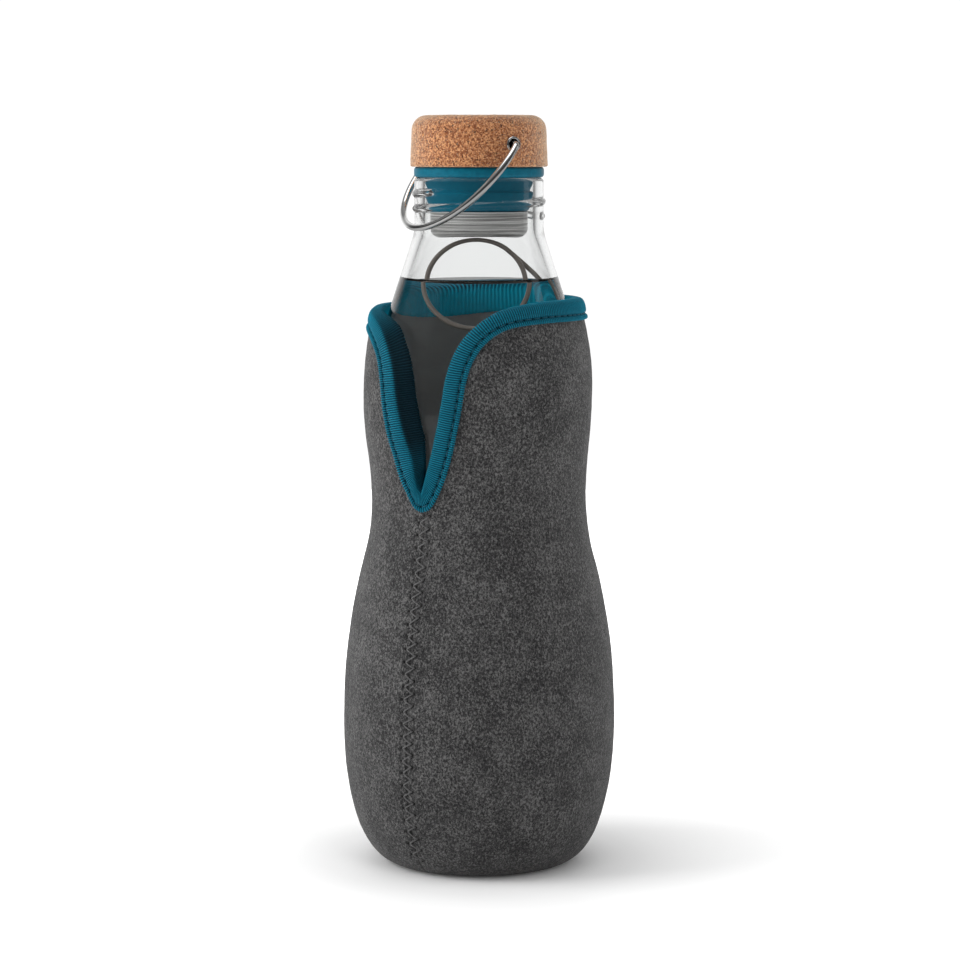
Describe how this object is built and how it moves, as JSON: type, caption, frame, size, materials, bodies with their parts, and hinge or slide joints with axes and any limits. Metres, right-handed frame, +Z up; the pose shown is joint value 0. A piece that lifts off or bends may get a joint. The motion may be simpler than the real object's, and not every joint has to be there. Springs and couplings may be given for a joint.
{
  "type": "glass water bottle",
  "caption": "Hourglass glass bottle in a grey knit neoprene sleeve with a teal-bound notch, closed by a push-in cork stopper that hangs on a wire handle; a charcoal coil stands inside.",
  "frame": {"origin": "centre of the base, on the surface the bottle stands on", "axes": "+Z up along the bottle's axis; -Y is the front, through the middle of the sleeve's notch; +X to the right seen from the front"},
  "size_m": [0.083, 0.0832, 0.2273],
  "materials": {
    "clear_glass": "clear, polished",
    "grey_knit": "heathered dark grey knit over neoprene",
    "teal_binding": "ribbed elastic tape",
    "teal_thread": "polyester thread",
    "grey_thread": "polyester thread",
    "cork": "pressed cork granules",
    "teal_silicone": "satin silicone",
    "brushed_steel": "turned, fine rings",
    "polished_steel": "polished wire",
    "coil_steel": "drawn spring wire",
    "charcoal": "rough burnt wood",
    "core_plastic": "moulded"
  },
  "bodies": {
    "bottle": {"glass_bottle": "clear_glass", "sleeve_body": "grey_knit", "sleeve_base": "grey_knit", "sleeve_binding": "teal_binding", "binding_stitches": "teal_thread", "sleeve_seam_thread": "grey_thread", "base_seam_thread": "grey_thread", "charcoal_coil": "coil_steel", "charcoal_stick": "charcoal"},
    "stopper": {"cork_cap": "cork", "stopper_core": "core_plastic", "silicone_seal": "teal_silicone", "steel_cup": "brushed_steel", "right_eyelet": "polished_steel", "left_eyelet": "polished_steel"},
    "handle": {"wire_handle": "polished_steel"}
  },
  "joints": [
    {"name": "stopper_lift", "type": "slide", "parent": "bottle", "child": "stopper", "axis": [0, 0, 1], "range_m": [0, 0.05]},
    {"name": "handle_swing", "type": "hinge", "parent": "stopper", "child": "handle", "pos_m": [0, 0, 0.2186], "axis": [-0.866, 0.5, 0], "range_deg": [0, 276]}
  ]
}
